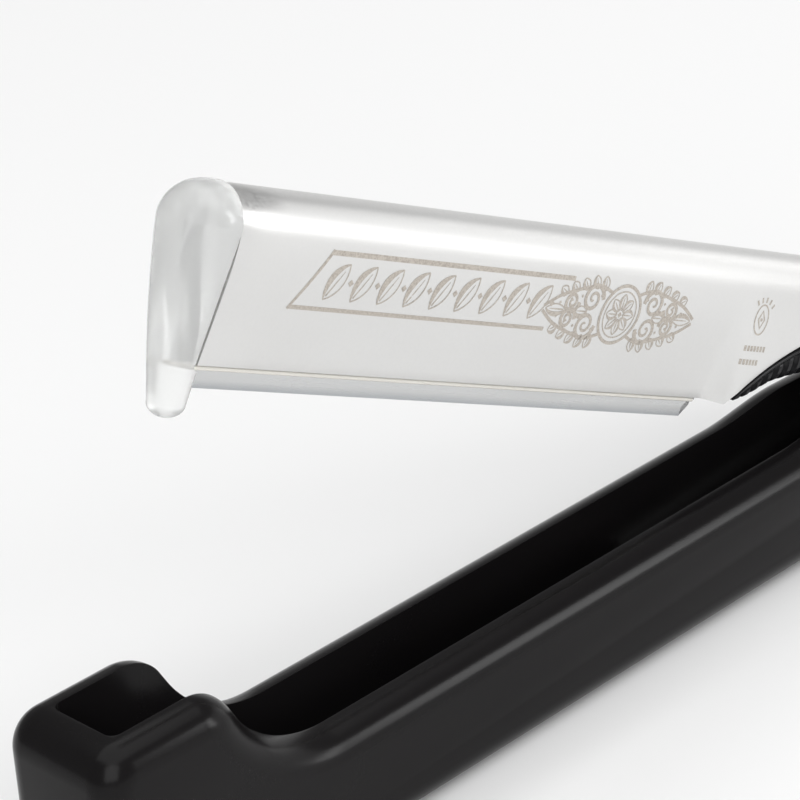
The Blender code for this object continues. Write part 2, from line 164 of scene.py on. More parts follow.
def bump(nodes, links, shader, height, strength, distance, under=None):
    """Raises the surface with a height value, by a distance in millimetres, over an earlier bump."""
    node = nodes.new("ShaderNodeBump")
    node.inputs["Strength"].default_value = strength
    node.inputs["Distance"].default_value = distance * MM
    links.new(height, node.inputs["Height"])
    if under:
        links.new(under, node.inputs["Normal"])
    links.new(node.outputs["Normal"], shader.inputs["Normal"])
    return node.outputs["Normal"]


# ---------------------------------------------------------------- materials

def moulded_plastic(name, dark, light, low_roughness, high_roughness, grain):
    """Black plastic from a mould: fine spark-eroded grain over a softer one, in faint patches."""
    made, nodes, links, shader = new_material(name, dark, 0.0, low_roughness, Specular_IOR_Level=0.13)
    patches = noise(nodes, links, 90.0, 4.0, (0.5, 1, 1))
    fine = noise(nodes, links, 5200.0, 2.0)
    soft = noise(nodes, links, 1300.0, 3.0)
    colour = two_colours(nodes, links, spread(nodes, links, patches, 0, 1, 0.2, 0.8), dark, light)
    links.new(colour, shader.inputs["Base Color"])
    roughness = spread(nodes, links, patches, low_roughness, high_roughness, 0.2, 0.8)
    links.new(roughness, shader.inputs["Roughness"])
    first = bump(nodes, links, shader, fine, grain, 0.012)
    bump(nodes, links, shader, soft, grain * 0.6, 0.02, first)
    return made


def satin_aluminium():
    """Fine blasted aluminium with a faint lengthwise brushing under it."""
    dull, bright = (0.7, 0.697, 0.688), (0.73, 0.728, 0.72)
    made, nodes, links, shader = new_material("satin_aluminium", dull, 1.0, 0.3)
    grain = noise(nodes, links, 3600.0, 2.0)
    brushed = noise(nodes, links, 2200.0, 3.0, (0.04, 1, 1))
    cloud = noise(nodes, links, 120.0, 4.0, (0.4, 1, 1))
    colour = two_colours(nodes, links, spread(nodes, links, cloud, 0, 1), dull, bright)
    links.new(colour, shader.inputs["Base Color"])
    links.new(spread(nodes, links, grain, 0.3, 0.43), shader.inputs["Roughness"])
    first = bump(nodes, links, shader, grain, 0.07, 0.006)
    bump(nodes, links, shader, brushed, 0.05, 0.005, first)
    return made


def etched_metal():
    """The dull warm grey that etching leaves on aluminium."""
    dark, pale = (0.37, 0.33, 0.29), (0.53, 0.49, 0.44)
    made, nodes, links, shader = new_material("etched_metal", dark, 0.25, 0.5)
    pits = noise(nodes, links, 6500.0, 3.0)
    colour = two_colours(nodes, links, spread(nodes, links, pits, 0, 1, 0.35, 0.6), dark, pale)
    links.new(colour, shader.inputs["Base Color"])
    links.new(spread(nodes, links, pits, 0.5, 0.75), shader.inputs["Roughness"])
    bump(nodes, links, shader, pits, 0.3, 0.01)
    return made


def clear_plastic(name, colour, clearness):
    """Slightly milky moulded plastic with faint flow lines."""
    made, nodes, links, shader = new_material(name, colour, 0.0, 0.1, IOR=1.36, Transmission_Weight=clearness)
    flow = noise(nodes, links, 420.0, 3.0, (1, 1, 0.35))
    links.new(spread(nodes, links, flow, 0.06, 0.14), shader.inputs["Roughness"])
    bump(nodes, links, shader, flow, 0.1, 0.02)
    return made


def blade_steel():
    """Blade strip: a plain body and a ground bevel with honing lines along its edge, the bevel in painted
    shade.
    """
    # The second, darker colour is painted shade on the ground bevel along the lower edge.
    plain, ground = (0.585, 0.59, 0.59), (0.42, 0.435, 0.45)
    grind_low, grind_high = (EDGE_W + 0.1) * MM, (EDGE_W + 0.7) * MM
    made, nodes, links, shader = new_material("blade_steel", plain, 1.0, 0.2)
    place = nodes.new("ShaderNodeSeparateXYZ")
    links.new(drawing_place(nodes, links), place.inputs["Vector"])
    # Painted shade: 1 over the bevel and 0 on the plain body above it.
    painted_shade_share = spread(nodes, links, place.outputs["Z"], 1, 0, grind_low, grind_high)
    colour = two_colours(nodes, links, painted_shade_share, plain, ground)
    links.new(colour, shader.inputs["Base Color"])
    honing = noise(nodes, links, 5000.0, 2.0, (1, 1, 0.05))
    rolled = noise(nodes, links, 1500.0, 3.0, (0.05, 1, 1))
    links.new(spread(nodes, links, rolled, 0.2, 0.34), shader.inputs["Roughness"])
    first = bump(nodes, links, shader, honing, 0.12, 0.004)
    bump(nodes, links, shader, rolled, 0.1, 0.006, first)
    return made


def turned_metal(name, colour, low_roughness, high_roughness):
    """Turned and tumbled metal for the rivet, the washers and the cross pin."""
    worn = tuple(0.85 * channel for channel in colour)
    made, nodes, links, shader = new_material(name, colour, 1.0, low_roughness)
    marks = noise(nodes, links, 1800.0, 4.0, (1, 0.3, 1))
    links.new(spread(nodes, links, marks, low_roughness, high_roughness), shader.inputs["Roughness"])
    tone = two_colours(nodes, links, spread(nodes, links, marks, 0, 1), colour, worn)
    links.new(tone, shader.inputs["Base Color"])
    bump(nodes, links, shader, marks, 0.15, 0.01)
    return made


# ---------------------------------------------------------------- mesh helpers

def to_object(name, shape, frame_matrix, smooth_shaded=True):
    """Turns a bmesh drawn in millimetres into an object in the scene."""
    mesh = bpy.data.meshes.new(name)
    shape.to_mesh(mesh)
    shape.free()
    mesh.transform(frame_matrix @ Matrix.Scale(MM, 4))
    if smooth_shaded:
        mesh.shade_smooth()
    made = bpy.data.objects.new(name, mesh)
    bpy.context.scene.collection.objects.link(made)
    return made


def new_piece(name, shape, frame_matrix, look, sharp=32):
    """A visible piece of one material; edges with a turn of more than so many degrees stay sharp."""
    bmesh.ops.remove_doubles(shape, verts=shape.verts, dist=1e-4)
    bmesh.ops.recalc_face_normals(shape, faces=shape.faces)
    piece = to_object(name, shape, frame_matrix)
    piece.data.set_sharp_from_angle(angle=radians(sharp))
    piece.data.materials.append(look)
    return piece


def combine(piece, name, shape, frame_matrix, operation="DIFFERENCE"):
    """Cuts a shape out of a piece, or adds it with UNION, by a Boolean modifier."""
    bmesh.ops.recalc_face_normals(shape, faces=shape.faces)
    modifier = piece.modifiers.new(name, "BOOLEAN")
    modifier.operation = operation
    modifier.object = to_object(name, shape, frame_matrix)


def bevel(piece, width, segments, angle, clamp=True):
    """Rounds the edges that turn by more than an angle in degrees."""
    modifier = piece.modifiers.new("rounded edges", "BEVEL")
    modifier.width = width * MM
    modifier.segments = segments
    modifier.limit_method = "ANGLE"
    modifier.angle_limit = radians(angle)
    modifier.use_clamp_overlap = clamp


def apply_modifiers(piece, sharp):
    """Applies the piece's modifiers, removes the shapes they used and marks the sharp edges again."""
    bpy.context.view_layer.update()
    graph = bpy.context.evaluated_depsgraph_get()
    baked = bpy.data.meshes.new_from_object(piece.evaluated_get(graph))
    used = [modifier.object for modifier in piece.modifiers if modifier.type == "BOOLEAN"]
    piece.modifiers.clear()
    piece.data = baked
    baked.shade_smooth()
    baked.set_sharp_from_angle(angle=radians(sharp))
    for helper in used:
        bpy.data.objects.remove(helper)


def claim(piece, body, slot, *nodes):
    """Says which body a piece rides on and which CAD nodes it replaces; the slot is not used."""
    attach(piece, body)
    if nodes:
        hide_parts(*nodes)


def between(start, end, steps):
    """Evenly spaced values from start to end, both included."""
    return [start + (end - start) * step / steps for step in range(steps + 1)]


def arc(centre, radius, start, end, steps):
    """Points along an arc between two angles in degrees, both ends included."""
    return [(centre[0] + radius * cos(radians(angle)), centre[1] + radius * sin(radians(angle)))
            for angle in between(start, end, steps)]


def smooth(points, per_span):
    """A Catmull-Rom curve through the points."""
    ends = [points[0]] + list(points) + [points[-1]]
    curve = []
    for before, a, b, after in zip(ends, ends[1:], ends[2:], ends[3:]):
        for step in range(per_span):
            t = step / per_span
            curve.append(tuple(
                0.5 * (2 * p1 + (p2 - p0) * t + (2 * p0 - 5 * p1 + 4 * p2 - p3) * t ** 2
                       + (3 * p1 - p0 - 3 * p2 + p3) * t ** 3)
                for p0, p1, p2, p3 in zip(before, a, b, after)
            ))
    return curve + [points[-1]]


def mirrored(side):
    """Closes a half section, from the middle of its top to the middle of its foot, with its mirror image."""
    return side + [(-v, w) for v, w in reversed(side[1:-1])]


def prism(outline, half):
    """A new shape with an (x, z) outline, from -half to half along Y."""
    return loft([[(x, y, z) for x, z in outline] for y in (-half, half)])


def loft(*lofts, caps=True):
    """A new shape of one or more skins, each through sections with as many points."""
    shape = bmesh.new()
    for sections in lofts:
        rings = [[shape.verts.new(point) for point in section] for section in sections]
        count = len(rings[0])
        for near, far in zip(rings, rings[1:]):
            for i in range(count):
                j = (i + 1) % count
                shape.faces.new((near[i], near[j], far[j], far[i]))
        if caps:
            shape.faces.new(list(reversed(rings[0])))
            shape.faces.new(rings[-1])
    return shape


def turned_sections(profile, segments, place=(0, 0, 0)):
    """The rings of (radius, y) points that are turned about a line along Y through a place."""
    turns = [2 * pi * s / segments for s in range(segments)]
    return [[(place[0] + radius * cos(turn), place[1] + y, place[2] + radius * sin(turn)) for turn in turns]
            for radius, y in profile]


def rod(radius, half, segments, place=(0, 0, 0)):
    """A new round bar along Y, from -half to half."""
    return loft(turned_sections([(radius, -half), (radius, half)], segments, place))


# ---------------------------------------------------------------- handle and pivot

def handle_outline():
    """The side view of the handle, from its lower tail corner towards the pivot and back."""
    slope = 60
    steep, shallow = sin(radians(slope)), cos(radians(slope))
    crest_radius, valley_radius = 4.2, 11.0
    crest = (BLOCK_FRONT_X, BLOCK_TOP - crest_radius)
    crest_end = (crest[0] + crest_radius * steep, crest[1] + crest_radius * shallow)
    valley_z = RIM + valley_radius
    fall = crest_end[1] - (valley_z - valley_radius * shallow)
    valley_x = crest_end[0] + fall / steep * shallow + valley_radius * steep
    end_radius = PIVOT_END_HEIGHT / 2
    rise_start, rise_end = -27.0, -17.5

    points = arc((BLOCK_END_X + CORNER_ROUND, CORNER_ROUND), CORNER_ROUND, 180, 270, 14)
    points += arc((PIVOT_END_X - end_radius, end_radius), end_radius, -90, 90, 40)
    points += [(rise_start + (rise_end - rise_start) * t, RIM + CHEEK_RISE * ease(t))
               for t in between(1, 0, 16)]
    points += arc((valley_x, valley_z), valley_radius, 270, 270 - slope, 22)
    points += arc(crest, crest_radius, 90 - slope, 90, 16)
    points += arc((BLOCK_END_X + CORNER_ROUND, BLOCK_TOP - CORNER_ROUND), CORNER_ROUND, 90, 180, 14)
    return points


def make_handle(look):
    """The moulded trough, open at the top and slotted where the tang swings through."""
    body = new_piece("handle_moulding", prism(handle_outline(), HANDLE_HALF), HANDLE_FRAME, look)
    bevel(body, EDGE_ROUND, 10, 50, clamp=False)

    past, corner = 5, 0.9
    plan = arc((END_WALL_X + corner, TROUGH_HALF - corner), corner, 90, 180, 8)
    plan += arc((END_WALL_X + corner, corner - TROUGH_HALF), corner, 180, 270, 8)
    plan += [(PIVOT_END_X + past, -TROUGH_HALF), (PIVOT_END_X + past, TROUGH_HALF)]
    hollow = loft([[(x, y, z) for x, y in plan] for z in (FLOOR, BLOCK_TOP + past)])
    combine(body, "trough", hollow, HANDLE_FRAME)
    slot = [(SLOT_X, FLOOR + 1), (SLOT_X, -past),
            (PIVOT_END_X + past, -past), (PIVOT_END_X + past, FLOOR + 1)]
    combine(body, "floor_slot", prism(slot, TROUGH_HALF), HANDLE_FRAME)
    combine(body, "pivot_hole", rod(PIVOT_HOLE, 2 * HANDLE_HALF, 48), PIVOT_FRAME)
    bevel(body, 0.24, 4, 55)
    apply_modifiers(body, 28)
    claim(body, "handle_body", "handle", "handle")


def make_pivot(steel, brass):
    """The rivet with its two domed heads, and a pair of washers on each side."""
    outer_thick, inner_thick = 0.5, 0.6
    shank, head_radius, head_rise = 1.0, 1.9, 0.8
    outer_face = HANDLE_HALF + GAP
    head_face = outer_face + outer_thick + GAP
    dome = [(head_radius * cos(radians(a)), head_face + head_rise * sin(radians(a))) for a in range(6, 90, 6)]
    head = [(head_radius - 0.06, head_face)] + dome + [(0.05, head_face + head_rise)]
    profile = [(r, -y) for r, y in reversed(head)] + [(shank, -head_face), (shank, head_face)] + head
    rivet = new_piece("pivot_rivet", loft(turned_sections(profile, 64)), PIVOT_FRAME, steel)
    claim(rivet, "handle_body", "pivot_pin", "pivot_pin")

    top = outer_face + outer_thick
    outer_ring = [(PIVOT_HOLE, outer_face), (2.6, outer_face), (2.7, outer_face + 0.1), (2.62, top - 0.2),
                  (2.4, top - 0.04), (2.2, top), (1.4, top), (PIVOT_HOLE, top - 0.08)]
    high = TROUGH_HALF - GAP
    low = high - inner_thick
    inner_ring = [(PIVOT_HOLE, low), (3.9, low), (4.0, low + 0.1), (4.0, high - 0.1), (3.9, high),
                  (PIVOT_HOLE, high)]
    for side, name in ((-1, "near"), (1, "far")):
        for kind, ring in (("outer", outer_ring), ("inner", inner_ring)):
            rings = turned_sections([(r, side * y) for r, y in ring], 64)
            shape = loft(rings + rings[:1], caps=False)
            washer = new_piece("washer_" + kind + "_" + name, shape, PIVOT_FRAME, brass, 40)
            claim(washer, "handle_body", kind + "_washer", kind + "_washer_" + name)


# ---------------------------------------------------------------- sleeve

def cut_w(u):
    """The sleeve's sweeping rear edge at u."""
    crest_u, crest_w = CUT_CREST
    if u <= crest_u:
        return crest_w
    return crest_w - CUT_RADIUS + sqrt(CUT_RADIUS ** 2 - (u - crest_u) ** 2)


def flare_at(u):
    """How far the sleeve has widened at u: 0 along the window and 1 round the tang."""
    return ease((SHOULDER_U - u) / FLARE)


def foot_at(u):
    """Half the sleeve's thickness at the foot of its flanks at u, and the height of that foot."""
    flare = flare_at(u)
    return WINDOW_HALF + (TANG_HALF - WINDOW_HALF) * flare, SLEEVE_BOTTOM - FLARE_DROP * flare


def flank_line(radius, half, bottom, w):
    """Half the outer thickness of a folded sheet at height w, and how fast that grows with w."""
    lean = (radius - half) / (SPINE_CENTRE - FLANK_ROUND / 2 - bottom)
    up = max(w - (SPINE_CENTRE - FLANK_ROUND), 0.0)
    width = half + lean * (w - bottom) - lean * up ** 2 / (2 * FLANK_ROUND)
    return width, lean * (1 - up / FLANK_ROUND)


def flank_half(u, w):
    """Half the sleeve's outer thickness at (u, w)."""
    return flank_line(SPINE_RADIUS, *foot_at(u), w)[0]


def sheet_section(u, radius, sheet, half, bottom, low, steps):
    """A folded sheet at u: up one flank from the height low, round the spine and down the other."""
    rows = 12
    outer_points, inner_points = [], []
    for row in range(rows):
        w = low + (SPINE_CENTRE - low) * row / rows
        width, lean = flank_line(radius, half, bottom, w)
        outer_points.append((width, w))
        inner_points.append((width - sheet * hypot(1, lean), w))
    for step in range(steps + 1):
        angle = pi * step / steps
        outer_points.append((radius * cos(angle), SPINE_CENTRE + radius * sin(angle)))
        inner_points.append(((radius - sheet) * cos(angle), SPINE_CENTRE + (radius - sheet) * sin(angle)))
    outer_points += [(-v, w) for v, w in reversed(outer_points[:rows])]
    inner_points += [(-v, w) for v, w in reversed(inner_points[:rows])]
    return [(u, v, w) for v, w in outer_points + list(reversed(inner_points))]


def sleeve_stations():
    """Stations from the rear end to the toe, close together where the sheet changes shape."""
    rear = [SLEEVE_REAR_U + REAR_ROUND * (1 - cos(radians(a))) for a in range(0, 91, 18)]
    sweep = between(CUT_CREST[0], CUT_FRONT_U, 36)
    flared = between(CUT_FRONT_U, SHOULDER_U, 20)
    window = between(SHOULDER_U, TOE_U, 12)
    return rear + sweep + flared[1:] + window[1:]


def sleeve_low(u):
    """The height of the sheet's lower edge at u."""
    if u < SLEEVE_REAR_U + REAR_ROUND:
        along = (SLEEVE_REAR_U + REAR_ROUND - u) / REAR_ROUND
        return CUT_CREST[1] + REAR_ROUND * (1 - sqrt(max(1 - along ** 2, 0.0)))
    if u < CUT_FRONT_U:
        return cut_w(u)
    return foot_at(u)[1]


def make_sleeve(look):
    """The folded aluminium sheet, flared over the tang, with the hole for the cross pin."""
    sections = [sheet_section(u, SPINE_RADIUS, SHEET, *foot_at(u), sleeve_low(u), 28)
                for u in sleeve_stations()]
    sleeve = new_piece("sleeve", loft(sections), BLADE_FRAME, look)
    combine(sleeve, "lock_pin_hole", rod(1.1, 6, 40, LOCK_PIN_PLACE), BLADE_FRAME)
    bevel(sleeve, 0.07, 2, 50)
    apply_modifiers(sleeve, 35)
    claim(sleeve, "blade_body", "blade_sleeve", "blade_sleeve")


def make_lock_pin(look):
    """The cross pin, with rounded ends that lie just below the sleeve's outer faces."""
    half = SPINE_RADIUS - 0.05
    face = [(0.8, half - 0.12), (0.74, half - 0.04), (0.6, half), (0.05, half)]
    profile = [(r, -y) for r, y in reversed(face)] + face
    pin = new_piece("cross_pin", loft(turned_sections(profile, 40, LOCK_PIN_PLACE)), BLADE_FRAME, look)
    claim(pin, "blade_body", "lock_pin", "lock_pin")


# ---------------------------------------------------------------- etched ornament

def add_stroke(shape, points, width):
    """Lays a flat stroke on the near flank; width is one number, or one for each point."""
    # Strokes that cross lie at slightly different heights, so that no two faces coincide.
    lift = 0.006 + 0.0011 * (len(shape.faces) % 7)
    last = len(points) - 1
    widths = [width] * len(points) if isinstance(width, (int, float)) else width
    pairs = []
    for i, (u, w) in enumerate(points):
        before, after = points[max(i - 1, 0)], points[min(i + 1, last)]
        du, dw = after[0] - before[0], after[1] - before[1]
        length = hypot(du, dw) or 1.0
        side_u, side_w = -dw / length * widths[i] / 2, du / length * widths[i] / 2
        ends = [(u + sign * side_u, w + sign * side_w) for sign in (-1, 1)]
        pairs.append([shape.verts.new((at[0], flank_half(*at) + lift, at[1])) for at in ends])
    for a, b in zip(pairs, pairs[1:]):
        shape.faces.new((a[0], a[1], b[1], b[0]))


def leaf_sides(centre, length, width, turn, steps):
    """Both sides of a pointed leaf, each from its stalk to its tip."""
    sides = []
    for sign in (-1, 1):
        side = []
        for t in between(0, 1, steps):
            along, across = length * (t - 0.5), sign * width / 2 * sin(pi * t) ** 0.8
            side.append((centre[0] + along * cos(turn) - across * sin(turn),
                         centre[1] + along * sin(turn) + across * cos(turn)))
        sides.append(side)
    return sides


def spiral(centre, start_radius, turns, start_angle, way, steps):
    """A spiral from its outer end inwards, clockwise or anticlockwise by the sign of way."""
    points = []
    for t in between(0, 1, steps):
        angle = start_angle + way * 2 * pi * turns * t
        radius = start_radius * (1 - t) ** 0.9 + 0.08
        points.append((centre[0] + radius * cos(angle), centre[1] + radius * sin(angle)))
    return points


def add_line(shape, start, end, width, steps=12):
    """A straight stroke, in steps because the flank below it is curved."""
    add_stroke(shape, list(zip(between(start[0], end[0], steps), between(start[1], end[1], steps))), width)


def add_frame(shape):
    """The slanted border round the band of leaves, open towards the rosette."""
    top_toe, low_toe = (89.95, 6.0), (92.9, 1.5)
    add_line(shape, top_toe, (60.6, top_toe[1]), 0.42)
    add_line(shape, low_toe, (62.6, low_toe[1]), 0.34)
    add_line(shape, (top_toe[0] - 0.15, top_toe[1] + 0.21), (low_toe[0] + 0.1, low_toe[1] - 0.17), 0.27)


def add_leaf(shape, centre, length, width, turn, bold=0.2):
    """A pointed leaf with one bold side, one fine side and a vein."""
    steps = 8
    bold_side, fine_side = leaf_sides(centre, length, width, turn, steps)
    add_stroke(shape, bold_side, [0.1 + bold * sin(pi * t) for t in between(0, 1, steps)])
    add_stroke(shape, fine_side, 0.13)
    vein = [(centre[0] + t * length * cos(turn), centre[1] + t * length * sin(turn)) for t in (-0.4, 0, 0.3)]
    add_stroke(shape, vein, [0.16, 0.12, 0.05])


def add_dot(shape, centre, size):
    """A small lozenge that reads as a dot."""
    add_stroke(shape, [(centre[0] + size, centre[1]), centre, (centre[0] - size, centre[1])],
               [0.02, 2 * size, 0.02])


def add_leaf_band(shape):
    """A row of slanted leaves with a dot between each two, inside the border."""
    first_u, pitch, middle_w = 88.6, 3.05, 3.75
    for step in range(9):
        u = first_u - pitch * step
        add_leaf(shape, (u, middle_w), 3.5, 1.45, radians(123), 0.5)
        add_dot(shape, (u - 1.52, middle_w), 0.3)


def add_rosette(shape, centre, radius, petals=8):
    """A ring of petals inside a double circle."""
    for share, width in ((1.0, 0.3), (0.8, 0.13)):
        add_stroke(shape, arc(centre, radius * share, 0, 360, 48), width)
    for petal in range(petals):
        turn = 2 * pi * petal / petals
        middle = (centre[0] + 0.43 * radius * cos(turn), centre[1] + 0.43 * radius * sin(turn))
        add_leaf(shape, middle, 0.56 * radius, 0.32 * radius, turn)
    add_dot(shape, centre, 0.26)


def add_scroll(shape, hub, radius, start, way):
    """A spiral stroke that thins towards its hub."""
    steps = 36
    add_stroke(shape, spiral(hub, radius, 1.8, start, way, steps), between(0.44, 0.2, steps))


def add_foliage(shape, centre, way):
    """Scrolls beside the rosette, with leaves along their outer sides and a leaf at the tip."""
    stem_line = ((1.9, 1.85), (3.6, 2.3), (6.0, 1.9), (8.4, 1.2), (10.2, 0.2))
    leaf_places = ((3.0, 2.55), (4.2, 2.6), (5.5, 2.35), (6.8, 2.05), (8.1, 1.65))
    facing = 0.0 if way > 0 else pi
    for up in (-1, 1):
        inner_hub = (centre[0] + way * 4.15, centre[1] + up * 1.15)
        add_scroll(shape, inner_hub, 1.25, pi - facing, -way * up)
        outer_hub = (centre[0] + way * 6.75, centre[1] + up * 0.75)
        add_scroll(shape, outer_hub, 0.9, pi - facing, way * up)
        stem = smooth([(centre[0] + way * along, centre[1] + up * across) for along, across in stem_line], 5)
        add_stroke(shape, stem, 0.3)
        for step, (along, across) in enumerate(leaf_places):
            turn = radians(78 - 13 * step) * up
            add_leaf(shape, (centre[0] + way * along, centre[1] + up * across), 1.3 - 0.05 * step, 0.8,
                     turn if way > 0 else pi - turn, 0.26)
            add_dot(shape, (centre[0] + way * (along + 0.15), centre[1] + up * (across - 1.05)), 0.16)
    for along, length in ((5.3, 1.7), (8.6, 2.6)):
        add_leaf(shape, (centre[0] + way * along, centre[1]), length, 0.9, facing, 0.34)


def add_small_mark(shape):
    """A ringed lozenge under a few rays, over two broken bars, near the tang."""
    centre = (33.4, 4.1)
    for half_u, half_w, corners, width in ((0.95, 1.35, 32, 0.16), (0.45, 0.8, 4, 0.22)):
        ring = [(centre[0] + half_u * u, centre[1] + half_w * w) for u, w in arc((0, 0), 1, 0, 360, corners)]
        add_stroke(shape, ring, width)
    add_dot(shape, centre, 0.2)
    for angle in range(55, 136, 20):
        way = (cos(radians(angle)), sin(radians(angle)))
        near_end, far_end = ((centre[0] + reach * way[0], centre[1] + reach * way[1])
                             for reach in (1.55, 2.05))
        add_line(shape, near_end, far_end, 0.22, 2)
    pitch, half_block, bar_width = 0.46, 0.16, 0.5
    for middle, w, blocks in ((33.3, 1.45, 7), (33.7, 0.2, 6)):
        for block in range(blocks):
            u = middle + pitch * (block - (blocks - 1) / 2)
            add_line(shape, (u - half_block, w), (u + half_block, w), bar_width, 1)


def make_ornament(look):
    """The etching, as strokes laid a few micrometres above the near flank and facing away from it."""
    shape = bmesh.new()
    add_frame(shape)
    add_leaf_band(shape)
    rosette = (53.4, 3.3)
    add_rosette(shape, rosette, 2.55)
    for way in (-1, 1):
        add_foliage(shape, rosette, way)
    add_small_mark(shape)
    for face in shape.faces:
        face.normal_update()
        if face.normal.y < 0:
            face.normal_flip()
    ornament = to_object("etched_ornament", shape, BLADE_FRAME, smooth_shaded=False)
    ornament.data.materials.append(look)
    claim(ornament, "blade_body", "blade_sleeve")


# ---------------------------------------------------------------- tang

UNDERSIDE = smooth([(35.2, -3.5), (32.0, -2.95), (28.0, -1.6), (22.0, -0.5), (15.0, -1.0), (9.0, -3.0),
                    (5.0, -4.0)], 8)
RIB_PITCH = 1.35
RIB_DEPTH = 0.5
GRIP_FRONT_U = 34.3
RIBS_REAR_U = 13.2
COLLAR_FRONT_U = 9.2
COLLAR_REAR_U = 6.0
COLLAR_TOP = 9.72
COLLAR_ROUND = 1.4
CORE_HALF = 2.25
CORE_FRONT_U = 34.0
CORE_TOP = 8.2
BOSS_RADIUS = 4.7


def underside_w(u):
    """The height of the grip's underside at u."""
    for a, b in zip(UNDERSIDE, UNDERSIDE[1:]):
        if b[0] <= u <= a[0]:
            return a[1] + (b[1] - a[1]) * (u - a[0]) / (b[0] - a[0])
    return UNDERSIDE[-1][1]


def rib_depth(u):
    """0 on a rib's crest and 1 in a groove; the ribs fade out at the grip's ends."""
    phase = ((GRIP_FRONT_U - 0.9 - u) / RIB_PITCH) % 1.0
    groove = max(0.0, cos(2 * pi * (phase - 0.25)) + 0.25) / 1.25
    return groove ** 0.8 * ease((u - RIBS_REAR_U) / 1.2) * ease((GRIP_FRONT_U - 0.5 - u) / 0.6)


def grip_section(u):
    """The grip at u: a bead under the sleeve's edge, a ribbed flank and a round underside."""
    top, low = cut_w(u) - GAP, underside_w(u)
    height = top - low
    bead = min(0.55, height * 0.35)
    bead_radius = bead * 0.5
    round_under = min(1.5, (height - bead) * 0.8)
    depth = RIB_DEPTH * rib_depth(u) * min(height / 1.2, 1.0)
    flank = TANG_HALF - 0.06 - depth
    flank_top, flank_low = top - bead * 1.25, low + round_under
    side = [(0.0, top), (1.4, top), (TANG_HALF - bead * 0.75, top)]
    side += [(TANG_HALF - bead_radius + bead_radius * cos(radians(a)),
              top - bead_radius + bead_radius * sin(radians(a))) for a in (70, 45, 20, 0, -30)]
    side.append((flank - 0.12, top - bead))
    side += [(flank, flank_top + (flank_low - flank_top) * t) for t in (0, 0.33, 0.66)]
    side += [(flank - round_under + round_under * cos(radians(a)),
              low + depth + (round_under - depth) * (1 - sin(radians(a)))) for a in range(0, 91, 15)]
    side.append((0.0, low + depth))
    return [(u, v, w) for v, w in mirrored(side)]


def collar_section(u, grip_count):
    """The collar behind the sleeve at u, with as many points as a grip section."""
    back = ease((COLLAR_FRONT_U - u) / (COLLAR_FRONT_U - COLLAR_REAR_U))
    half = TANG_HALF - 0.75 * back
    top = COLLAR_TOP - 1.5 * back
    low = underside_w(u) + 0.05 + 0.4 * back
    over_steps, under_steps = 9, 6
    flank_steps = grip_count // 2 - over_steps - under_steps - 1
    side = [(half * cos(a), top - half + half * sin(a)) for a in between(pi / 2, 0, over_steps)]
    side += [(half, w) for w in between(top - half, low + COLLAR_ROUND, flank_steps)[1:]]
    side += [(half - COLLAR_ROUND * (1 - cos(a)), low + COLLAR_ROUND * (1 - sin(a)))
             for a in between(0, pi / 2, under_steps)[1:]]
    side.append((0.0, low))
    return [(u, v, w) for v, w in mirrored(side)]


def make_tang(look):
    """The ribbed grip below the sleeve, and the core with its eye and curled tail."""
    sections = [grip_section(u) for u in between(GRIP_FRONT_U, COLLAR_FRONT_U + 0.02, 260)]
    sections += [collar_section(u, len(sections[0])) for u in between(COLLAR_FRONT_U, COLLAR_REAR_U, 12)]
    grip = new_piece("tang_grip", loft(sections), BLADE_FRAME, look, 45)
    claim(grip, "blade_body", "tang", "tang")

    front = [(CORE_FRONT_U, -2.6), (CORE_FRONT_U, CORE_TOP), (SLEEVE_REAR_U + 1.5, CORE_TOP)]
    tail_top = smooth([(7.0, 8.1), (2.5, 6.0), (-2.5, 4.1), (-8.0, 3.0), (-14.0, 2.8), (-19.0, 4.6),
                       (-23.4, 8.0), (-26.6, 12.2)], 8)
    tail_end = arc((-27.9, 11.5), 1.5, 28, 208, 18)
    tail_under = smooth([(-27.3, 7.2), (-23.5, 3.4), (-19.0, 0.3), (-13.5, -1.8), (-7.0, -3.3)], 8)
    boss = arc((0, 0), BOSS_RADIUS, 228, 300, 16)
    under = smooth([(9.0, -2.4), (15.0, -0.5), (22.0, 0.0), (28.0, -1.1)], 4)
    shape = prism(front + tail_top + tail_end + tail_under + boss + under, CORE_HALF)
    core = new_piece("tang_core", shape, BLADE_FRAME, look)
    bevel(core, 1.0, 6, 60)
    combine(core, "eye", rod(PIVOT_HOLE, 6, 48), PIVOT_FRAME)
    apply_modifiers(core, 30)
    claim(core, "blade_body", "tang", "tang")


# ---------------------------------------------------------------- insert and blade

TIP_RADIUS = 3.3
TIP_REACH = 4.7
NOSE_RADIUS = 1.1
NOSE_BOTTOM = -8.1
TIP_REAR_U = TOE_U + 0.12
LEAF_SHEET = 0.5
LEAVES_TOE_U = TOE_U - 1.1
PEGS = ((49.0, 0.4), (86.0, 0.4))
PEG_RADIUS = 0.9


